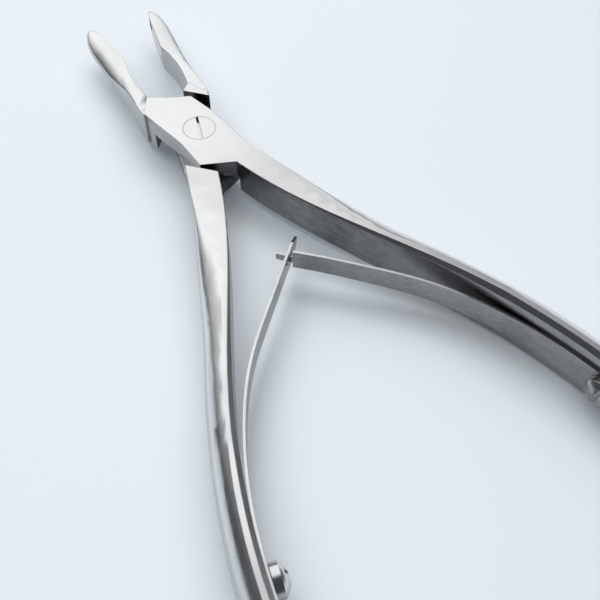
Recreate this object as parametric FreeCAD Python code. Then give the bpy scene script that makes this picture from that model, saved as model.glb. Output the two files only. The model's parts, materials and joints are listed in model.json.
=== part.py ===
"""Bone rongeur: two crossed steel levers on a lap joint, held open by a pair of leaf springs.

Lengths are millimetres. The pivot axis is Z, the jaws point to +Y and the two handles spread
towards -Y. Everything is modelled about the pivot and the mid-plane of the levers, z = 0. At the
end it is moved so that the grips stand on z = 0 and the origin is the middle of the whole tool.

The upper lever has its jaw on the left (-X) and its handle on the right (+X). Its forging is
defined once. The lower lever is the same forging turned half a turn about the midline Y, but
ground a little less beside the lap joint.
"""
import FreeCAD, Part

import math
import os

from FreeCAD import Vector

# Lap joint
lap_thickness = 3.7           # each lever is halved to this where they cross
lap_play = 0.05               # between the two lap faces
shoulder_angle = 45.0         # how the ends of the halved part lie across the lever
shoulder_play = 0.15          # between a corner of one lever and the shoulder of the other
opening_angle = 17.0          # between the levers, from jaws shut to the open rest position
rim_play = 0.05               # left between each cutting rim and the line where they meet
mouth_lean = 3.0              # of that line from the middle of the handles, to the lower jaw's side
mouth_offset = 1.25           # of that line from the pivot axis, to the upper jaw's side

# Outline of the halved plate, as corners of the upper lever
plate_heel = Vector(2.0, -11.7, 0)         # where the inner edge of the handle begins
plate_tail = Vector(-4.3, -8.9, 0)         # the free corner below the screw
plate_waist = Vector(-4.9, -1.9, 0)
plate_crook = Vector(-1.8, 11.1, 0)
plate_nose = Vector(2.6, 9.0, 0)           # the free corner above the screw
plate_brow = Vector(4.3, 3.3, 0)
flank_step = 0.2              # the jaw and the shank stand this far out of the plate

# Jaws
jaw_reach = 42.3              # pivot to the tip, along the line where the rims meet
jaw_root = 9.5                # where the jaw section takes over from the plate
jaw_root_width = 5.6
jaw_round = 28.0              # where the square section of the root has become a rounded D
jaw_nose = 7.2                # length of the rounded end
jaw_nose_width = 3.7          # where that rounding begins
jaw_nose_height = 5.2
jaw_nose_strip = 0.8
jaw_nose_draw = 0.7           # the flat draws back this far from the rims' line at the tip
rim_bevel = 0.12
throat_fork = 13.5            # from the pivot to where the plate runs into the jaw
throat_deepest = 15.5         # the relief behind the cutting rim, from the pivot
throat_end = 27.3
throat_depth = 2.4
cup_length = 12.0
cup_radius = 1.45
cup_setback = 1.7             # from the tip to the end of the cup

# Handles
grip_height = 11.5
grip_width = 4.6
grip_strip = 1.4              # flat strip along the top and bottom of the grip
grip_fullness = 0.6           # of the rounded outside of the grip, see section()
grip_fall = 0.45              # slope at which that outside leaves the strip
jaw_fullness = 0.57
grip_ground = 0.12            # ground off the top and bottom of the grip, to leave true flats
grip_bevel = 0.9              # bevel along the inner edges of the grip
shank_width = 5.2             # across the upper lever's handle beside the lap joint
lower_shank_width = 5.8
shank_start = 9.1             # from the pivot to where the shank leaves the plate
shank_end = 14.0              # from the pivot to where the square shank begins to swell
swell_end = 75.0              # from the pivot to where the grip has its full height
belly_end = 44.0              # from the pivot to where the outside has become fully rounded
waist_start = 28.0            # the handle grows thinner between these two, from the pivot
waist_end = 52.0
handle_reach = 118.0          # pivot to the end of the handles, along the midline
handle_end_radius = 4.6

# Dimples along the outside of the grips
dimple_count = 20
dimple_pitch = 3.4
dimple_start = 40.0           # from the pivot along the handle
dimple_ball = 1.9
dimple_depth = 0.42

# Pivot screw
screw_head_radius = 3.1
screw_head_height = 1.7
screw_shank_radius = 2.2
screw_play = 0.03             # radial, where the upper lever turns on the screw
thread_play = 0.02            # radial, where the screw is fast in the lower lever
screw_slot_width = 0.45
screw_slot_depth = 0.8
screw_slot_angle = 73.0

# Leaf springs
leaf_thickness = 0.5
leaf_root_height = 5.6
leaf_tip_height = 4.1
leaf_seat_play = 0.02         # between the leaf and the face it is screwed to
leaf_crossing = 33.2          # pivot to where the two leaves would cross on the midline
leaf_drift = 0.4              # they cross this far aside and back of that, along the tongue leaf
leaf_course = [               # of a leaf from the crossing: outwards, back, and share of the drift
    (0.0, 0.0, 1.0), (5.2, 5.1, 1.0), (10.1, 10.2, 0.5), (16.3, 17.2, 0.0), (22.0, 25.8, 0.0),
]
leaf_seat_length = 13.0       # of the leaf along the handle
leaf_overrun = 4.8            # the slotted leaf runs this far past the crossing, to a point
leaf_point_height = 0.4
leaf_slot_height = 2.1
leaf_slot_length = 1.9
tongue_height = 1.5
tongue_length = 2.3           # past the crossing
tongue_setback = 0.8          # the broad end of the leaf stops this far short of the crossing

# Leaf screws
leaf_screw_reach = 87.0       # straight from the pivot to the screw
leaf_screw_head_radius = 2.7
leaf_screw_head_height = 2.6
leaf_screw_dome = 3.4         # radius of the dome on its head
leaf_screw_stand = 0.1        # under the head, over the curve of the leaf
leaf_screw_shank_radius = 1.1
leaf_screw_length = 2.4       # in the handle
leaf_screw_slot_width = 0.6
leaf_screw_slot_depth = 0.7

lever_half = lap_thickness
grip_half = grip_height / 2
overcut = 1.0                 # how far a cutting shape stands out of what it cuts
front_strip_count = 6         # strips of the rounded front of a section, above and below
square_corner = 0.1           # rounding left on a section that is meant to be square

# The line where the rims meet, as its angle from the midline and its offset at the pivot
upper_mouth = (opening_angle / 2 - mouth_lean, mouth_offset)
lower_mouth = (opening_angle / 2 + mouth_lean, -mouth_offset)


def spline(points):
    curve = Part.BSplineCurve()
    curve.interpolate(points)
    return curve


def blend(start, end, share):
    """A smooth step from start to end, where share runs from 0 to 1."""
    share = min(max(share, 0.0), 1.0)
    return start + (end - start) * share * share * (3 - 2 * share)


def section(origin, across, half_height, width, strip, bevel, fullness, fall=0.0):
    """A flat-backed D, standing on the line from origin along across.

    The back is a vertical flat at origin. A strip on top and bottom leads to the rounded
    front, which starts with a slope of fall. Its fullness runs from 0, a slanted flat, over
    0.55, near an ellipse, to 1, a square corner.
    """
    def at(out, up):
        return origin + across * out + Vector(0, 0, up)

    def front(sign):
        curve = Part.BezierCurve()
        belly = width - strip
        curve.setPoles([
            at(strip, sign * half_height),
            at(strip + belly * fullness, sign * (half_height - fall * belly * fullness)),
            at(width, sign * half_height * fullness),
            at(width, 0),
        ])
        strips = []
        for number in range(front_strip_count):
            strip_curve = curve.copy()
            strip_curve.segment(number / front_strip_count, (number + 1) / front_strip_count)
            strips.append(strip_curve.toShape())
        return strips

    low = -half_height
    corners = [at(strip, low), at(bevel, low), at(0, low + bevel),
               at(0, half_height - bevel), at(bevel, half_height), at(strip, half_height)]
    edges = [Part.makeLine(a, b) for a, b in zip(corners, corners[1:])]
    return Part.Wire(Part.__sortEdges__(edges + front(1) + front(-1)))


def prism(points, low, high):
    """A straight-sided solid over a closed outline."""
    raised = [Vector(p.x, p.y, low) for p in points]
    return Part.Face(Part.makePolygon(raised + raised[:1])).extrude(Vector(0, 0, high - low))


def turned_over(shape):
    """The same shape half a turn about the midline, for the other lever."""
    copy = shape.copy()
    copy.rotate(Vector(0, 0, 0), Vector(0, 1, 0), 180)
    return copy


def mirrored_corner(point):
    return Vector(-point.x, point.y, 0)


# The inner face of the handle in plan, from beside the pivot to the end
handle_line = spline([
    Vector(0.4, -6.0, 0),
    plate_heel,
    Vector(7.9, -27.0, 0),
    Vector(19.7, -51.0, 0),
    Vector(28.9, -75.0, 0),
    Vector(32.6, -96.0, 0),
    Vector(31.4, -handle_reach, 0),
])


def handle_frame(share):
    """Where the inner face is at a share of its line, its direction, and outwards across it."""
    first, last = handle_line.FirstParameter, handle_line.LastParameter
    parameter = first + share * (last - first)
    point = handle_line.value(parameter)
    along = Vector(*handle_line.tangent(parameter)[0])
    return point, along, Vector(-along.y, along.x, 0)


def share_at_distance(distance):
    """The share of the handle's line whose point lies this far from the pivot."""
    low, high = 0.0, 1.0
    for _ in range(40):
        middle = (low + high) / 2
        if handle_frame(middle)[0].Length < distance:
            low = middle
        else:
            high = middle
    return low


def between(start, end, distance):
    return (distance - start) / (end - start)


def handle_width(shank, distance):
    return blend(shank, grip_width, between(waist_start, waist_end, distance))


def handle_section(shank, share):
    """The handle across its line: square beside the lap joint, a flat-backed D at the grip."""
    point, along, out = handle_frame(share)
    distance = point.Length
    swell = between(shank_end, swell_end, distance)
    width = handle_width(shank, distance)
    belly = between(shank_end, belly_end, distance)
    strip = blend(shank - square_corner, grip_strip, belly)
    return section(point, out, blend(lever_half, grip_half + grip_ground, swell), width, strip,
                   blend(square_corner, grip_bevel, swell), blend(1, grip_fullness, belly),
                   blend(0, grip_fall, belly))


def make_handle(shank):
    """The handle, as wide as shank beside the lap joint."""
    spans = 18
    sections = [handle_section(shank, number / spans) for number in range(spans + 1)]
    return Part.makeLoft(sections, True).common(handle_end_shape())


def handle_end_shape():
    """A long block as tall as the grip, rounded at the far end when it is seen from the side."""
    width = 2 * handle_reach
    block = Part.makeBox(width, handle_reach + overcut, grip_height,
                         Vector(-width / 2, -handle_reach, -grip_half))
    corner = Part.makeBox(width, handle_end_radius, handle_end_radius + overcut)
    round_bar = Part.makeCylinder(handle_end_radius, width, Vector(0, 0, 0), Vector(1, 0, 0))
    corner.translate(Vector(0, -handle_end_radius, 0))
    corner = corner.cut(round_bar)
    corner.translate(Vector(-width / 2, -handle_reach + handle_end_radius,
                            grip_half - handle_end_radius))
    lower = corner.copy()
    lower.rotate(Vector(0, 0, 0), Vector(0, 1, 0), 180)
    return block.cut(corner).cut(lower)


def jaw_point(mouth, along, out):
    """A point along the line where the rims meet, and this far out from it into the jaw."""
    angle = math.radians(90 + mouth[0])
    outward = Vector(-math.sin(angle), math.cos(angle), 0)
    return Vector(outward.y, -outward.x, 0) * along + outward * (mouth[1] + out)


def jaw_section(mouth, along, nose_share):
    """The jaw across the line where the rims meet, drawn in by nose_share at its rounded end."""
    taper = between(jaw_root, jaw_reach - jaw_nose, along)
    rounding = between(jaw_root, jaw_round, along)
    width = (jaw_root_width + (jaw_nose_width - jaw_root_width) * taper) * nose_share
    half = (lever_half + (jaw_nose_height / 2 - lever_half) * taper) * math.sqrt(nose_share)
    strip = blend(jaw_root_width - square_corner, jaw_nose_strip, rounding) * nose_share
    back = rim_play + jaw_nose_draw * (1 - nose_share)
    start = jaw_point(mouth, along, back)
    out = jaw_point(mouth, along, back + 1) - start
    return section(start, out, half, width, min(strip, width - square_corner * nose_share),
                   rim_bevel * nose_share, blend(1, jaw_fullness, rounding))


def make_jaw(mouth):
    """A bar that tapers to a rounded tip, with its flat on the line where the rims meet."""
    nose_start = jaw_reach - jaw_nose
    spans = 6
    sections = [jaw_section(mouth, jaw_root + (nose_start - jaw_root) * number / spans, 1)
                for number in range(spans + 1)]
    for angle in (20, 38, 54, 67, 77):
        turn = math.radians(angle)
        sections.append(jaw_section(mouth, nose_start + jaw_nose * math.sin(turn), math.cos(turn)))
    return Part.makeLoft(sections, True).cut(throat_relief(mouth))


def throat_relief(mouth):
    """An upright bar that hollows the jaw between the cutting rim and the lap joint."""
    chord = throat_end - throat_deepest
    radius = (chord * chord + throat_depth * throat_depth) / (2 * throat_depth)
    centre = jaw_point(mouth, throat_deepest, throat_depth - radius)
    return Part.makeCylinder(radius, 2 * lever_half + 2 * overcut,
                             centre - Vector(0, 0, lever_half + overcut))


def cup(mouth):
    """The spoon behind the cutting rim: a groove with round ends, half sunk in the jaw's flat."""
    start = jaw_point(mouth, jaw_reach - cup_setback - cup_length + cup_radius, 0)
    end = jaw_point(mouth, jaw_reach - cup_setback - cup_radius, 0)
    groove = Part.makeCylinder(cup_radius, start.distanceToPoint(end), start, end - start)
    return groove.fuse([Part.makeSphere(cup_radius, start), Part.makeSphere(cup_radius, end)])


def shoulder_reach(corner, angle_range):
    """How far out a shoulder lies so that the other lever's corner passes it with play."""
    facing = min(angle_range, key=abs)
    return corner.Length * math.cos(math.radians(facing)) + shoulder_play


def lap_pocket():
    """What is cut away under the upper lever's plate, where the lower lever lies."""
    normal = Vector(math.sin(math.radians(shoulder_angle)), math.cos(math.radians(shoulder_angle)), 0)
    normal_up = Vector(-normal.x, normal.y, 0)
    normal_down = Vector(normal.x, -normal.y, 0)
    along = Vector(normal.y, normal.x, 0)
    nose = mirrored_corner(plate_nose)
    tail = mirrored_corner(plate_tail)
    nose_angle = math.degrees(nose.getAngle(normal_up))
    reach_up = shoulder_reach(nose, [nose_angle, nose_angle - opening_angle])
    reach_down = shoulder_reach(tail, [0])
    side = jaw_reach
    corners = [normal_up * reach_up + along * side, normal_up * reach_up - along * side,
               normal_down * reach_down - along * side, normal_down * reach_down + along * side]
    return prism(corners, -grip_half - overcut, lap_play / 2)


def in_shank(distance, depth):
    """A point of the square shank at a distance from the pivot, this deep from its inner face."""
    point, along, out = handle_frame(share_at_distance(distance))
    return point + out * depth


def make_forging(mouth, shank):
    """A lever before it is drilled, lying as the upper one does."""
    jaw_corner = jaw_point(mouth, jaw_root, jaw_root_width - flank_step)
    throat_corner = jaw_point(mouth, throat_fork, throat_depth + flank_step)
    plate = prism([
        in_shank(plate_heel.Length, flank_step), plate_tail, plate_waist, jaw_corner,
        throat_corner, plate_crook, plate_nose, plate_brow,
        in_shank(shank_start, shank - flank_step),
        in_shank(plate_heel.Length, shank - flank_step),
    ], -lever_half, lever_half)
    body = plate.fuse([make_jaw(mouth), make_handle(shank)])
    return body.cut([lap_pocket(), cup(mouth), dimples(shank)])


def dimples(shank):
    balls = []
    for number in range(dimple_count):
        share = share_at_distance(dimple_start + number * dimple_pitch)
        point, along, out = handle_frame(share)
        width = handle_width(shank, point.Length)
        centre = point + out * (width + dimple_ball - dimple_depth)
        balls.append(Part.makeSphere(dimple_ball, centre))
    return Part.makeCompound(balls)


def screw_place():
    """The centre of the leaf screw's seat on the handle, and the way out of the handle."""
    share = share_at_distance(leaf_screw_reach)
    point, along, out = handle_frame(share)
    return point, along, out * -1


def leaf_screw():
    """A head turned to a dome in two cuts, over its shank, with a slot, then set in place."""
    point, along, inward = screw_place()
    start = leaf_thickness + leaf_seat_play + leaf_screw_stand
    radius, top = leaf_screw_head_radius, leaf_screw_head_height
    dome_centre = top - leaf_screw_dome

    def on_dome(out):
        return Vector(out, 0, dome_centre + math.sqrt(leaf_screw_dome ** 2 - out * out))

    foot = Vector(0, 0, -start - leaf_screw_length)
    shank_side = Vector(leaf_screw_shank_radius, 0, 0)
    flat = on_dome(radius * 0.4)
    corners = [Vector(0, 0, flat.z), foot, foot + shank_side, shank_side, Vector(radius, 0, 0),
               on_dome(radius), on_dome(radius * 0.8), flat]
    outline = Part.Face(Part.makePolygon(corners + corners[:1]))
    screw = outline.revolve(Vector(0, 0, 0), Vector(0, 0, 1), 360)
    slot = Part.makeBox(radius * 3, leaf_screw_slot_width, leaf_screw_slot_depth + overcut,
                        Vector(-radius * 1.5, -leaf_screw_slot_width / 2, top - leaf_screw_slot_depth))
    screw = screw.cut(slot)
    screw.Placement = FreeCAD.Placement(point + inward * start,
                                        FreeCAD.Rotation(Vector(0, 0, 1), inward))
    return screw


def leaf_screw_hole(radius):
    point, along, inward = screw_place()
    return Part.makeCylinder(radius, leaf_screw_length + overcut * 3,
                             point - inward * (leaf_screw_length + leaf_seat_play), inward)


def crossing(side, share=1.0):
    """Where the leaves cross. Side is 1 for the upper lever's leaf and -1 for the other one."""
    return Vector(side * leaf_drift * share, -leaf_crossing - leaf_drift * share, 0)


def leaf_line(side):
    """The middle of a leaf in plan, from its tip past the crossing to its root on the handle."""
    overrun = leaf_overrun * math.sqrt(0.5)
    points = [crossing(side) + Vector(-overrun, overrun, 0)]
    for outwards, back, share in leaf_course:
        points.append(crossing(side, share) + Vector(outwards, -back, 0))
    offset = leaf_thickness / 2 + leaf_seat_play
    screw_share = share_at_distance(leaf_screw_reach)
    for back in (leaf_seat_length * 0.6, leaf_seat_length * 0.3, 0, -leaf_seat_length * 0.4):
        share = screw_share - back / handle_line.length()
        point, along, out = handle_frame(share)
        points.append(point - out * offset)
    return spline(points)


def leaf_section(line, parameter, half_height):
    point = line.value(parameter)
    along = Vector(*line.tangent(parameter)[0])
    side = Vector(-along.y, along.x, 0) * (leaf_thickness / 2)
    up = Vector(0, 0, half_height)
    corners = [point + side - up, point + side + up, point - side + up, point - side - up]
    return Part.makePolygon(corners + corners[:1])


def leaf_blank(side, tip):
    """A leaf at its full height, from tip, a length past the crossing, to the root."""
    line = leaf_line(side)
    start = line.parameterAtDistance(leaf_overrun - tip, line.FirstParameter)
    sections = []
    for number in range(11):
        parameter = start + (line.LastParameter - start) * number / 10
        half_height = blend(leaf_tip_height, leaf_root_height, number / 10) / 2
        sections.append(leaf_section(line, parameter, half_height))
    blank = Part.makeLoft(sections, True)
    return blank.cut(leaf_screw_hole(leaf_screw_shank_radius + thread_play))


def at_crossing(side, shape):
    """Turns a shape that lies along X over the crossing so that X is the way to the tip."""
    line = leaf_line(side)
    near = line.parameterAtDistance(leaf_overrun, line.FirstParameter)
    way = Vector(*line.tangent(near)[0]) * -1
    shape.Placement = FreeCAD.Placement(crossing(side), FreeCAD.Rotation(Vector(1, 0, 0), way))
    return shape


def upright(outline, depth):
    """A solid over an outline in the XZ plane, as deep to each side of it."""
    corners = [Vector(along, -depth, up) for along, up in outline]
    return Part.Face(Part.makePolygon(corners + corners[:1])).extrude(Vector(0, 2 * depth, 0))


def tongue_leaf(side):
    """The leaf whose end is narrowed to a tongue."""
    end = leaf_overrun + overcut
    cuts = []
    for up in (1, -1):
        outline = [(-tongue_setback, up * tongue_height / 2), (end, up * tongue_height / 2),
                   (end, up * leaf_root_height), (-tongue_setback, up * leaf_root_height)]
        cuts.append(at_crossing(side, upright(outline, tongue_length)))
    return leaf_blank(side, tongue_length).cut(cuts)


def slotted_leaf(side):
    """The leaf that the tongue passes through. It runs on past the slot to a point."""
    cuts = []
    full = leaf_tip_height / 2
    for up in (1, -1):
        outline = [(leaf_slot_length, up * (full + overcut)), (leaf_slot_length, up * full),
                   (leaf_overrun, up * leaf_point_height / 2),
                   (leaf_overrun + overcut, up * leaf_point_height / 2),
                   (leaf_overrun + overcut, up * (full + overcut))]
        cuts.append(at_crossing(side, upright(outline, leaf_overrun)))
    half = leaf_slot_height / 2
    start, end = -leaf_slot_length / 2, leaf_slot_length / 2
    window = [(start, -half), (end, -half), (end, half), (start, half)]
    slot = at_crossing(side, upright(window, 2 * leaf_thickness))
    return leaf_blank(side, leaf_overrun).cut(cuts + [slot])


def pivot_screw():
    head = Part.makeCylinder(screw_head_radius, screw_head_height,
                             Vector(0, 0, lever_half - screw_head_height))
    shank = Part.makeCylinder(screw_shank_radius, 2 * lever_half, Vector(0, 0, -lever_half))
    slot = Part.makeBox(2 * screw_head_radius, screw_slot_width, screw_slot_depth,
                        Vector(-screw_head_radius, -screw_slot_width / 2,
                               lever_half - screw_slot_depth))
    slot.rotate(Vector(0, 0, 0), Vector(0, 0, 1), screw_slot_angle)
    return head.fuse(shank).cut(slot).removeSplitter()


def upper_lever():
    bore = Part.makeCylinder(screw_shank_radius + screw_play, 2 * lever_half + 2 * overcut,
                             Vector(0, 0, -lever_half - overcut))
    seat = Part.makeCylinder(screw_head_radius + screw_play, screw_head_height + overcut,
                             Vector(0, 0, lever_half - screw_head_height - lap_play))
    hole = leaf_screw_hole(leaf_screw_shank_radius + thread_play)
    return make_forging(upper_mouth, shank_width).cut([bore, seat, hole])


def lower_lever():
    thread = Part.makeCylinder(screw_shank_radius + thread_play, 2 * lever_half + 2 * overcut,
                               Vector(0, 0, -lever_half - overcut))
    hole = leaf_screw_hole(leaf_screw_shank_radius + thread_play)
    return turned_over(make_forging(lower_mouth, lower_shank_width).cut(hole)).cut(thread)


def write(nodes):
    """One STEP file for each node, about the middle of the whole tool's length, on z = 0."""
    whole = Part.makeCompound(list(nodes.values())).optimalBoundingBox(False)
    lift = Vector(0, -(whole.YMin + whole.YMax) / 2, grip_half)
    os.makedirs("parts", exist_ok=True)
    for name, shape in nodes.items():
        shape.translate(lift)
        shape.exportStep("parts/" + name + ".step")
        box = shape.BoundBox
        corners = (box.XMin, box.YMin, box.ZMin, box.XMax, box.YMax, box.ZMax)
        print(name, "solids", len(shape.Solids), "valid", shape.isValid(),
              "volume", round(shape.Volume, 1), "box", [round(v, 2) for v in corners])
    print("whole", whole, "pivot at", lift)


write({
    "upper_lever": upper_lever(),
    "lower_lever": lower_lever(),
    "pivot_screw": pivot_screw(),
    "tongue_leaf_spring": tongue_leaf(1),
    "slotted_leaf_spring": turned_over(slotted_leaf(-1)),
    "right_leaf_screw": leaf_screw(),
    "left_leaf_screw": turned_over(leaf_screw()),
})
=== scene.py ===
# %% [markdown]
# # A bone rongeur on a pale table
#
# The tool is two crossed steel levers, held open by a pair of leaf springs. This script dresses
# the engineering model with steel finishes, soft edges and leaves sliced for bending, and lights it
# as in a bright photograph. All lengths are in metres. +Y points to the jaws, +Z up from the table.

# %% Load the tool
import json
import math

import bmesh
import bpy
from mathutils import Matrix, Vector


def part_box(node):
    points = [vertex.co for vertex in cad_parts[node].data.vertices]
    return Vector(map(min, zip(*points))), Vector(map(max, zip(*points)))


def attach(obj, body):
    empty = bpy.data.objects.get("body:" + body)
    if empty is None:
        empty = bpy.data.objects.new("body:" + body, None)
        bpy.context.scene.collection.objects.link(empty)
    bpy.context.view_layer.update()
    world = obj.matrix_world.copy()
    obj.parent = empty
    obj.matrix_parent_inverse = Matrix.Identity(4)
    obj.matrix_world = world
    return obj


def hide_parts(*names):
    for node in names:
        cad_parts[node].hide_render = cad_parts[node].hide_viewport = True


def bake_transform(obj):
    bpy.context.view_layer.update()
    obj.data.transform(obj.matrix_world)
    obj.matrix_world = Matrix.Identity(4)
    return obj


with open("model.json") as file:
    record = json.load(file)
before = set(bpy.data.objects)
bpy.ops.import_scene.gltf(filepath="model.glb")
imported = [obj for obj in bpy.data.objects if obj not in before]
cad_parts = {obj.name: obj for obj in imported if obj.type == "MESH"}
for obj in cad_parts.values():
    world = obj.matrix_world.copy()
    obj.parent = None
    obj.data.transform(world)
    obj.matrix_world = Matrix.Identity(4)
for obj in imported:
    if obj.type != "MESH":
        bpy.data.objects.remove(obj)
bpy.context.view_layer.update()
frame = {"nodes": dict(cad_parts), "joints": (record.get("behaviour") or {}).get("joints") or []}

MM = 0.001
pivot = Vector(frame["joints"][0]["pos_m"])
print("pivot at", tuple(round(value / MM, 2) for value in pivot), "mm")

# %% [markdown]
# ## The camera
#
# The photograph looks down at the pivot from beside the left handle. Where a camera stands and how
# long its lens is decide the perspective, so they are set first and then left alone. The camera
# looks along its own -Z, and is tilted from straight down by turning it about X, then about Z.

# %% Camera
CAMERA_FROM_PIVOT = Vector((-44.9, -114.7, 117.35)) * MM
CAMERA_TILT = math.radians(35.5)
CAMERA_TURN = math.radians(-30.4)

camera_data = bpy.data.cameras.new("camera")
camera_data.lens = 51.0
camera_data.sensor_width = 36.0
camera_data.clip_start = 1 * MM
camera = bpy.data.objects.new("camera", camera_data)
camera.location = pivot + CAMERA_FROM_PIVOT
camera.rotation_euler = (CAMERA_TILT, 0, CAMERA_TURN)
bpy.context.scene.collection.objects.link(camera)
bpy.context.scene.camera = camera
bpy.context.scene.view_settings.view_transform = "Standard"
print("camera at", tuple(round(value / MM, 1) for value in camera.location), "mm")

# %% [markdown]
# ## Wiring materials
#
# Every finish here is a small graph of nodes. Two helpers keep the graphs short to write: one adds
# a node and sets its inputs by name, the other joins an output to an input. An input that is given
# a socket is linked, and one that is given a number or colour just holds it.


# %% Helpers for node graphs
def add_node(tree, kind, settings=None, **inputs):
    """A node of the given kind. Words for inputs are their names, with _ for a space."""
    node = tree.nodes.new(kind)
    for name, value in (settings or {}).items():
        setattr(node, name, value)
    for name, value in inputs.items():
        set_input(tree, node.inputs[name.replace("_", " ")], value)
    return node


def set_input(tree, socket, value):
    if isinstance(value, bpy.types.NodeSocket):
        tree.links.new(value, socket)
    else:
        socket.default_value = value


print("node helpers: add_node, set_input")

# %% [markdown]
# ## Sums, mixes and steps
#
# Three kinds of node are used again and again: a sum or product of two numbers, a mix of two
# colours, and a soft step from 0 to 1 between two values. Each gets a helper that gives back the
# output socket, so that they can be written inside one another as in plain arithmetic.


# %% Helpers for values
def maths(tree, operation, first, second=0.0):
    node = tree.nodes.new("ShaderNodeMath")
    node.operation = operation
    set_input(tree, node.inputs[0], first)
    set_input(tree, node.inputs[1], second)
    return node.outputs[0]


def mix_colours(tree, factor, first, second):
    node = tree.nodes.new("ShaderNodeMix")
    node.data_type = "RGBA"
    set_input(tree, node.inputs["Factor"], factor)
    set_input(tree, node.inputs[6], first)
    set_input(tree, node.inputs[7], second)
    return node.outputs[2]


def smooth_range(tree, value, low, high):
    """0 below low, 1 above high, and a smooth step between."""
    node = tree.nodes.new("ShaderNodeMapRange")
    node.interpolation_type = "SMOOTHSTEP"
    set_input(tree, node.inputs["Value"], value)
    node.inputs["From Min"].default_value = low
    node.inputs["From Max"].default_value = high
    return node.outputs["Result"]


print("value helpers: maths, mix_colours, smooth_range")

# %% [markdown]
# ## Groups
#
# What more than one finish needs is a node group: it is built once, and each material places it
# with values of its own. A group's inputs and outputs are sockets of its interface.


# %% Helpers for groups
def new_group(name, inputs, outputs):
    """An empty shader group with number inputs and the given outputs, its ends included."""
    group = bpy.data.node_groups.new(name, "ShaderNodeTree")
    for label, value in inputs.items():
        socket = group.interface.new_socket(label, in_out="INPUT", socket_type="NodeSocketFloat")
        socket.default_value = value
    for label in outputs:
        group.interface.new_socket(label, in_out="OUTPUT", socket_type="NodeSocketFloat")
    return group, group.nodes.new("NodeGroupInput"), group.nodes.new("NodeGroupOutput")


def place_group(tree, group, **inputs):
    node = tree.nodes.new("ShaderNodeGroup")
    node.node_tree = group
    for name, value in inputs.items():
        set_input(tree, node.inputs[name], value)
    return node


print("group helpers: new_group, place_group")

# %% [markdown]
# ## Grain of ground steel
#
# Satin steel is ground with fine abrasive belts. That leaves long faint lines along the piece, and
# the lines catch light. Noise stretched along Y makes them, and rounder noise makes the slow
# change of tone over a hand-ground face. As every finish needs both, they are a node group.

# %% Grain group
grain_group, grain_in, grain_out = new_group(
    "ground grain", {"Lines": 900.0, "Stretch": 30.0, "Clouds": 70.0}, ["Height", "Tone"])
place = add_node(grain_group, "ShaderNodeTexCoord")
across = maths(grain_group, "DIVIDE", grain_in.outputs["Lines"], grain_in.outputs["Stretch"])
grain_scale = add_node(grain_group, "ShaderNodeCombineXYZ", X=grain_in.outputs["Lines"],
                       Y=across, Z=grain_in.outputs["Lines"])
stretched = add_node(grain_group, "ShaderNodeVectorMath", {"operation": "MULTIPLY"})
grain_group.links.new(place.outputs["Object"], stretched.inputs[0])
grain_group.links.new(grain_scale.outputs[0], stretched.inputs[1])
lines = add_node(grain_group, "ShaderNodeTexNoise", Vector=stretched.outputs[0], Scale=1.0,
                 Detail=4.0, Roughness=0.6)
clouds = add_node(grain_group, "ShaderNodeTexNoise", Vector=place.outputs["Object"],
                  Scale=grain_in.outputs["Clouds"], Detail=3.0)
grain_group.links.new(lines.outputs["Fac"], grain_out.inputs["Height"])
grain_group.links.new(clouds.outputs["Fac"], grain_out.inputs["Tone"])
print("group:", grain_group.name)

# %% [markdown]
# ## Which way a face looks
#
# The faces that look up are given a lit tone, and the upright walls a darker tone, which is painted
# shade. This group works the first mask out from how upright the face is: the size of the Z in its
# direction, between two limits.

# %% Side group: up
side_group, side_in, side_out = new_group(
    "which side", {"Low": 0.2, "High": 0.6}, ["Up", "Inward", "Deep"])
here = add_node(side_group, "ShaderNodeTexCoord")
look = add_node(side_group, "ShaderNodeSeparateXYZ", Vector=here.outputs["Normal"])
step = add_node(side_group, "ShaderNodeMapRange", {"interpolation_type": "SMOOTHSTEP"},
                Value=maths(side_group, "ABSOLUTE", look.outputs["Z"]))
side_group.links.new(side_in.outputs["Low"], step.inputs["From Min"])
side_group.links.new(side_in.outputs["High"], step.inputs["From Max"])
side_group.links.new(step.outputs["Result"], side_out.inputs["Up"])
print("mask: Up")

# %% [markdown]
# Walls that face the fork between the handles get more painted shade, and most close to the
# joint, where the handles shade each other. For those two masks the face's direction is held
# against the way to a point in the middle of the fork, and the place along the tool tells how
# near the joint is.

# %% Side group: inward and deep
FORK = pivot + Vector((0, -60, 0)) * MM
DEEP_FROM = pivot.y - 60 * MM
DEEP_TO = pivot.y - 10 * MM

to_fork = add_node(side_group, "ShaderNodeVectorMath", {"operation": "SUBTRACT"})
to_fork.inputs[0].default_value = FORK
side_group.links.new(here.outputs["Object"], to_fork.inputs[1])
one_long = add_node(side_group, "ShaderNodeVectorMath", {"operation": "NORMALIZE"})
side_group.links.new(to_fork.outputs[0], one_long.inputs[0])
facing = add_node(side_group, "ShaderNodeVectorMath", {"operation": "DOT_PRODUCT"})
side_group.links.new(one_long.outputs[0], facing.inputs[0])
side_group.links.new(here.outputs["Normal"], facing.inputs[1])
inward = smooth_range(side_group, facing.outputs["Value"], 0.15, 0.6)
where = add_node(side_group, "ShaderNodeSeparateXYZ", Vector=here.outputs["Object"])
near_joint = smooth_range(side_group, where.outputs["Y"], DEEP_FROM, DEEP_TO)
side_group.links.new(inward, side_out.inputs["Inward"])
side_group.links.new(maths(side_group, "MULTIPLY", inward, near_joint), side_out.inputs["Deep"])
print("group:", side_group.name)

# %% [markdown]
# ## Tones of a steel
#
# The colour of a steel is built up in layers: first the tone of each side, lit on top and painted
# shade on the walls, then the clouds and the lines of the grain, and last a painted shade that
# darkens hollows, such as the dimples of the grips, to near black. The meshes carry an attribute
# named hollow for it, which is worked out further down.

# %% Tones
CLOUD_COVER = 0.25
CLOUD_TONE = 0.7
LINE_COVER = 0.1
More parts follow.
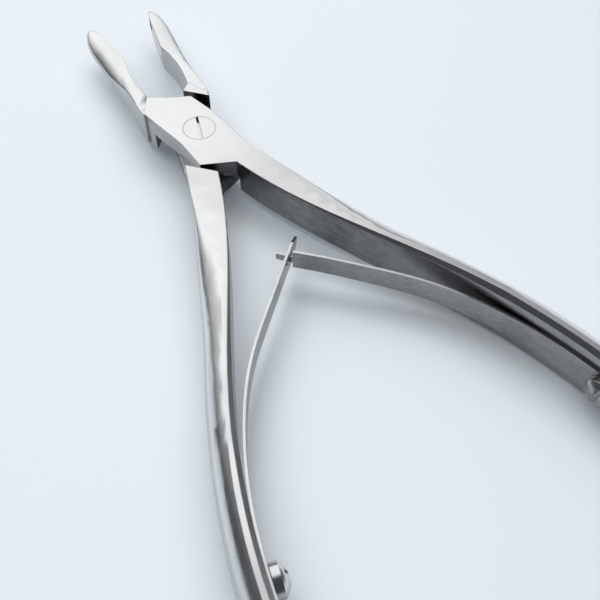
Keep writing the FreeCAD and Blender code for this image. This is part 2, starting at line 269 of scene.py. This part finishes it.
# Painted shade in hollows: how much of a hollow it covers, and how dark it is.
HOLLOW_SHADE_COVER = 0.85
HOLLOW_SHADE_TONE = 0.03


def grey(level):
    return (level, level, level, 1)


def steel_tone(tree, lit_top, wall_shade, fork_shade, joint_shade, cloudy, grain):
    """The colour of a steel: a lit top tone, and painted shade on outer, fork and deep sides."""
    side = place_group(tree, side_group, Low=0.2, High=0.6)
    # Painted shade: walls darker than the lit top, darker still facing the fork and near the joint.
    shaded_walls = mix_colours(tree, side.outputs["Inward"], grey(wall_shade), grey(fork_shade))
    shaded_walls = mix_colours(tree, side.outputs["Deep"], shaded_walls, grey(joint_shade))
    base = mix_colours(tree, side.outputs["Up"], shaded_walls, grey(lit_top))
    cover = maths(tree, "MULTIPLY", cloudy, CLOUD_COVER)
    base = mix_colours(tree, cover, base, grey(lit_top * CLOUD_TONE))
    line_shade = smooth_range(tree, grain.outputs["Height"], 0.3, 0.7)
    base = mix_colours(tree, maths(tree, "MULTIPLY", line_shade, LINE_COVER), base, grey(1.0))
    # Painted shade: hollows, such as the dimples, are mixed towards near black.
    hollow = add_node(tree, "ShaderNodeAttribute", {"attribute_name": "hollow"})
    hollow_shade = maths(tree, "MULTIPLY", hollow.outputs["Fac"], HOLLOW_SHADE_COVER)
    return mix_colours(tree, hollow_shade, base, grey(HOLLOW_SHADE_TONE))


print("grime covers", HOLLOW_SHADE_COVER, "of a hollow")

# %% [markdown]
# ## Steel finishes
#
# One function makes each steel. Levers, leaves and screws differ in their tones, in how rough they
# are and in the grain. The thin sheet of a leaf is rolled, so its lines are finer, and a screw is
# turned on a lathe, so its lines are hardly stretched.
#
# No real edge is a razor, and the narrow rounding draws the thin dark outline that the eye reads
# as steel. A Bevel node turns the light there as a real rounding would, at no cost in mesh. A Bump
# node lays the lines of the grain over it.

# %% Steel
CLOUD_ROUGHER = 0.08
LINE_RELIEF = 0.004 * MM


def steel(name, tones, roughness, edge, lines, stretch):
    """A finish. edge is the radius of its soft edges, and stretch the length of its lines."""
    material = bpy.data.materials.new(name)
    material.use_nodes = True
    tree = material.node_tree
    shader = tree.nodes["Principled BSDF"]
    shader.inputs["Metallic"].default_value = 1.0
    grain = place_group(tree, grain_group, Lines=lines, Stretch=stretch)
    cloudy = smooth_range(tree, grain.outputs["Tone"], 0.35, 0.75)
    tree.links.new(steel_tone(tree, *tones, cloudy, grain), shader.inputs["Base Color"])
    rough = maths(tree, "ADD", maths(tree, "MULTIPLY", cloudy, CLOUD_ROUGHER), roughness)
    tree.links.new(rough, shader.inputs["Roughness"])
    rounded = add_node(tree, "ShaderNodeBevel", {"samples": 6}, Radius=edge)
    bump = add_node(tree, "ShaderNodeBump", Strength=0.25, Distance=LINE_RELIEF,
                    Height=grain.outputs["Height"], Normal=rounded.outputs["Normal"])
    tree.links.new(bump.outputs["Normal"], shader.inputs["Normal"])
    return material


# Tones: lit top, then painted shade on outer walls, fork walls and walls near the joint.
lever_steel = steel("lever_satin", (0.88, 0.44, 0.26, 0.05), 0.22, 0.22 * MM, 900.0, 30.0)
leaf_steel = steel("leaf_rolled", (0.86, 0.7, 0.24, 0.24), 0.2, 0.08 * MM, 1200.0, 30.0)
screw_steel = steel("screw_turned", (0.86, 0.4, 0.2, 0.2), 0.2, 0.08 * MM, 1500.0, 4.0)
print("finishes:", lever_steel.name, leaf_steel.name, screw_steel.name)

# %% [markdown]
# ## Welding the engineering mesh
#
# A mirror shows every fault in its shape, and a polished lever is a curved mirror. The engineering
# mesh is right to a few hundredths of a millimetre, but its triangles are loose, long and uneven,
# so Blender's usual average of their directions wobbles. The fix starts with a copy of each mesh
# that is welded at its corners, and whose level triangles are joined.

# %% Welded copies
WELD = 0.0005 * MM
JOIN_TURN = math.radians(0.05)


def welded_copy(node):
    """The node's mesh with its corners joined, and the triangles of each true flat too."""
    mesh = bmesh.new()
    mesh.from_mesh(frame["nodes"][node].data)
    bmesh.ops.remove_doubles(mesh, verts=mesh.verts, dist=WELD)
    bmesh.ops.dissolve_degenerate(mesh, edges=mesh.edges, dist=WELD)
    bmesh.ops.dissolve_limit(mesh, angle_limit=JOIN_TURN, verts=mesh.verts, edges=mesh.edges)
    return mesh


print("corners within", WELD / MM, "mm are joined")

# %% [markdown]
# ## Flats and sharp edges
#
# Two kinds of face shade differently. A true flat, such as the plate round the screw, keeps one
# direction all over. A facet of a curved face shares its directions with its neighbours. What
# tells them apart is that a true flat lies level or has a clear edge all round.

# %% Flats
SHARP_TURN = math.radians(28)
FLAT_BORDER_TURN = math.radians(9)
FLAT_AREA = 2.0 * MM * MM
LEVEL = 0.99999


def is_flat(face):
    """True for a large face that lies level, or that has a clear edge all round."""
    if face.calc_area() < FLAT_AREA:
        return False
    turns = [edge.calc_face_angle(math.pi) for edge in face.edges]
    return abs(face.normal.z) > LEVEL or min(turns) > FLAT_BORDER_TURN


def mark_edges(mesh):
    """Marks each sharp edge, and tells which faces are true flats."""
    flats = {face for face in mesh.faces if is_flat(face)}
    for face in mesh.faces:
        face.smooth = True
        face.material_index = 0
    for edge in mesh.edges:
        turn = edge.calc_face_angle(math.pi)
        by_flat = any(face in flats for face in edge.link_faces)
        edge.smooth = turn < (FLAT_BORDER_TURN if by_flat else SHARP_TURN)
    return flats


print("a flat has more than", round(FLAT_AREA / MM / MM, 1), "square millimetres")

# %% [markdown]
# ## Faces round a corner
#
# At a corner of a curved face, the directions of the faces round it are added up. The sum takes in
# only the faces on this side of a sharp edge, which are called a fan here. Each face counts by the
# sine of its angle there over the lengths of its two edges. That is exact on a ball, however
# uneven the triangles are.


# %% Fans
def fan_of(face, corner):
    """The faces round a corner that can be reached from this one without crossing a sharp edge."""
    fan, waiting = {face}, [face]
    while waiting:
        for edge in waiting.pop().edges:
            if edge.smooth and corner in edge.verts:
                fresh = set(edge.link_faces) - fan
                fan |= fresh
                waiting.extend(fresh)
    return fan


def pull(face, corner):
    """The face's direction, weighted for an exact result on a ball."""
    loop = next(item for item in face.loops if item.vert is corner)
    back = loop.link_loop_prev.vert.co - corner.co
    ahead = loop.link_loop_next.vert.co - corner.co
    return face.normal * ahead.cross(back).length / (ahead.length_squared * back.length_squared)


print("fan helpers: fan_of, pull")

# %% [markdown]
# ## Clean directions
#
# A corner on a flat takes the flat's own direction, and a curved face beside a flat takes it too,
# so that the two join without a crease. Any other corner takes the sum over its fan. The
# directions are kept in a layer of the mesh, where cuts made later share them out evenly.


# %% Directions
def clean_direction(face, corner, flats):
    """The direction at one corner of one face: its own on a flat, the flat's beside one."""
    if face in flats:
        return face.normal.copy()
    fan = fan_of(face, corner)
    level = [item for item in fan if item in flats]
    if level:
        return max(level, key=lambda item: item.calc_area()).normal.copy()
    total = sum((pull(item, corner) for item in fan), Vector())
    return total.normalized() if total.length > 0 else face.normal.copy()


def store_directions(mesh, flats, adjust):
    """Keeps a direction for each corner of each face. adjust may turn it."""
    layer = mesh.loops.layers.float_vector.new("clean")
    for face in mesh.faces:
        for loop in face.loops:
            loop[layer] = adjust(loop.vert.co, clean_direction(face, loop.vert, flats))


print("direction helpers: clean_direction, store_directions")

# %% [markdown]
# ## Where hollows are shaded
#
# Hollows get painted shade, so each corner of a mesh is given a value for how hollow it is there.
# Around a corner in a hollow, the neighbours lie above the plane that touches it. How far, over
# the square of the distance, is half the curvature. The dimples are balls of a few millimetres, so
# their value is well above that of a handle's gentle waist.

# %% Hollows
HOLLOW_FROM = 150.0
HOLLOW_TO = 300.0


def mark_hollows(mesh, flats):
    """A value at each corner: 0 where the surface is flat or bulges, 1 where it is hollow.

    The limits are half curvatures, per metre. A corner of a flat stays 0, as its value would
    spread over the whole flat.
    """
    layer = mesh.verts.layers.float.new("hollow")
    mesh.normal_update()
    for corner in mesh.verts:
        if any(face in flats for face in corner.link_faces):
            continue
        bends = []
        for edge in corner.link_edges:
            way = edge.other_vert(corner).co - corner.co
            bends.append(way.dot(corner.normal) / way.length_squared)
        bend = sum(bends) / max(len(bends), 1)
        corner[layer] = min(max((bend - HOLLOW_FROM) / (HOLLOW_TO - HOLLOW_FROM), 0.0), 1.0)


print("hollow from", HOLLOW_FROM, "to", HOLLOW_TO, "per metre")

# %% [markdown]
# ## From mesh to piece
#
# A finished mesh becomes an object at the origin, with its place in its mesh. The kept directions
# go in as custom normals, which Blender uses in place of its own average.


# %% Pieces
def as_object(name, mesh, material):
    """The finished mesh as an object, with the directions that were kept for it."""
    layer = mesh.loops.layers.float_vector["clean"]
    directions = [loop[layer].normalized() for face in mesh.faces for loop in face.loops]
    mesh.loops.layers.float_vector.remove(layer)
    data = bpy.data.meshes.new(name)
    mesh.to_mesh(data)
    mesh.free()
    data.normals_split_custom_set(directions)
    data.materials.append(material)
    piece = bpy.data.objects.new(name, data)
    bpy.context.scene.collection.objects.link(piece)
    return piece


print("piece helper: as_object")

# %% [markdown]
# ## Ground by hand
#
# The backs of the jaws are ground flatter than a round bar, and fall off steeply at the side. Their
# directions are turned a little towards up or down for that. The smith also dresses the low step
# where a jaw leaves its plate until it hardly shows, so the directions on that step are the ones of
# the wall that it is part of.

# %% Hand grinding
STEP_FROM, STEP_TO, STEP_ASIDE = 8 * MM, 10 * MM, 7.3 * MM
UPRIGHT = 0.3
JAW_FROM, JAW_FADE = 12 * MM, 12 * MM
JAW_FLATTER = 0.7


def hand_ground(place, normal):
    away = place - pivot
    beside_plate = STEP_FROM < away.y < STEP_TO and abs(away.x) > STEP_ASIDE
    if beside_plate and abs(normal.z) < UPRIGHT:
        return Vector((math.copysign(1.0, away.x), 0, 0))
    on_jaw = min(max((away.y - JAW_FROM) / JAW_FADE, 0.0), 1.0)
    return Vector((normal.x, normal.y, normal.z * (1 + JAW_FLATTER * on_jaw))).normalized()


def as_made(place, normal):
    return normal


print("jaws shade up to", 1 + JAW_FLATTER, "times as flat")

# %% [markdown]
# ## Levers and screws
#
# Each lever and screw is dressed in the same steps: weld, mark, work out directions and hollows,
# and make an object. The copy rides on the body of its engineering node and replaces it.


# %% Dressed levers and screws
def dress(node, body, material, adjust):
    mesh = welded_copy(node)
    flats = mark_edges(mesh)
    mark_hollows(mesh, flats)
    store_directions(mesh, flats, adjust)
    piece = as_object("dressed_" + node, mesh, material)
    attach(piece, body)
    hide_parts(node)
    print(piece.name, len(piece.data.polygons), "faces,", len(flats), "flats")


dress("upper_lever", "upper", lever_steel, hand_ground)
dress("lower_lever", "lower", lever_steel, hand_ground)
dress("pivot_screw", "lower", screw_steel, as_made)
dress("right_leaf_screw", "upper", screw_steel, as_made)
dress("left_leaf_screw", "lower", screw_steel, as_made)

# %% [markdown]
# ## Leaf springs, sliced for bending
#
# When the handles close, each leaf stays fast at its screw while its tip keeps to the middle,
# where it meets the other leaf. A blend between the two levers could bend it so, but no blend is
# made here. A blend can only bend where there are corners to move, so the leaf is sliced many
# times along its length. Its flats are cut into triangles before that, because slicing a long
# bent flat whole can tear it.

# %% Leaves
LEAF_SLICES = 60


def slice_along(mesh, low, high, count):
    """Cuts the mesh by planes across Y, without parting it."""
    for number in range(1, count):
        cut = low.y + (high.y - low.y) * number / count
        bmesh.ops.bisect_plane(mesh, geom=mesh.verts[:] + mesh.edges[:] + mesh.faces[:],
                               plane_co=(0, cut, 0), plane_no=(0, 1, 0))


def dress_leaf(node):
    low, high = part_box(node)
    mesh = welded_copy(node)
    mesh.verts.layers.float.new("hollow")
    store_directions(mesh, mark_edges(mesh), as_made)
    bmesh.ops.triangulate(mesh, faces=mesh.faces[:])
    slice_along(mesh, low, high, LEAF_SLICES)
    piece = as_object("bending_" + node, mesh, leaf_steel)
    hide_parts(node)
    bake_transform(piece)
    print(piece.name, len(piece.data.polygons), "faces")


dress_leaf("tongue_leaf_spring")
dress_leaf("slotted_leaf_spring")

# %% [markdown]
# ## The table
#
# The table is a white glossy sheet. It is one flat face that reaches well past the view, with a
# little gloss, so that the tool's reflection shows faintly next to its soft shadow.

# %% Table
REACH = 2.5

table_data = bpy.data.meshes.new("table")
table_corners = [(-REACH, -REACH, 0), (REACH, -REACH, 0), (REACH, REACH, 0), (-REACH, REACH, 0)]
table_data.from_pydata(table_corners, [], [(0, 1, 2, 3)])
table = bpy.data.objects.new("table", table_data)
bpy.context.scene.collection.objects.link(table)
table_finish = bpy.data.materials.new("table_gloss")
table_finish.use_nodes = True
table_shader = table_finish.node_tree.nodes["Principled BSDF"]
table_shader.inputs["Base Color"].default_value = (0.82, 0.88, 0.925, 1)
table_shader.inputs["Roughness"].default_value = 0.2
table_shader.inputs["Specular IOR Level"].default_value = 0.35
table_data.materials.append(table_finish)
print("table reaches", REACH, "m each way")

# %% [markdown]
# ## The room
#
# Steel shows its room. Here one large soft brightness fills the far half of the ceiling, as over a
# bench below a skylight. It is weaker towards the right, up to a window low on that side, and the
# room is dark on the left, on the near side, where the photographer stands, and at the horizon. So
# each face that turns away from the light darkens smoothly. Each of these is one soft step along
# the X, Y or Z of a direction, and their product is the share of the bright colour.

# %% Room
DARK_ROOM = (0.05, 0.055, 0.06, 1)
BRIGHT_ROOM = (1.02, 1.04, 1.04, 1)
RIGHT_LOSS = 0.7

world = bpy.data.worlds.new("room")
world.use_nodes = True
bpy.context.scene.world = world
room = world.node_tree
sky = add_node(room, "ShaderNodeTexCoord")
way = add_node(room, "ShaderNodeSeparateXYZ", Vector=sky.outputs["Generated"])
far_half = smooth_range(room, way.outputs["Y"], 0.0, 0.35)
above = smooth_range(room, way.outputs["Z"], 0.0, 0.25)
not_left = smooth_range(room, way.outputs["X"], -0.8, 0.0)
to_right = smooth_range(room, way.outputs["X"], 0.2, 0.5)
at_window = smooth_range(room, way.outputs["X"], 0.8, 0.95)
at_back = smooth_range(room, way.outputs["Y"], 0.55, 0.75)
closed = maths(room, "MULTIPLY", maths(room, "SUBTRACT", 1.0, at_window),
               maths(room, "SUBTRACT", 1.0, at_back))
weaker = maths(room, "MULTIPLY", to_right, closed)
strength = maths(room, "SUBTRACT", 1.0, maths(room, "MULTIPLY", weaker, RIGHT_LOSS))
share = maths(room, "MULTIPLY", maths(room, "MULTIPLY", far_half, above),
              maths(room, "MULTIPLY", not_left, strength))
room_colour = mix_colours(room, share, DARK_ROOM, BRIGHT_ROOM)
room.links.new(room_colour, room.nodes["Background"].inputs["Color"])
room.nodes["Background"].inputs["Strength"].default_value = 1.0
print("world:", world.name)

# %% [markdown]
# ## Lamps
#
# Two wide lamps light the table, one from the side of the light and one from overhead, which keeps
# the shadows soft and pale. The wider a lamp is, the softer its shadow. Both are kept out of the
# mirror, because the real tool shows no lamp.

# %% Lamps
LAMP_AIM = Vector((0, 0.1, 0))


def soft_lamp(name, place, size, power):
    data = bpy.data.lights.new(name, "AREA")
    data.size = size
    data.energy = power
    lamp = bpy.data.objects.new(name, data)
    lamp.location = place
    lamp.rotation_euler = (LAMP_AIM - Vector(place)).to_track_quat("-Z", "Y").to_euler()
    lamp.visible_glossy = False
    bpy.context.scene.collection.objects.link(lamp)
    print(name, "lamp,", power, "W")


soft_lamp("skylight", (0.35, 0.75, 0.85), 1.0, 3.8)
soft_lamp("ceiling", (0.0, 0.2, 1.3), 2.5, 19.0)
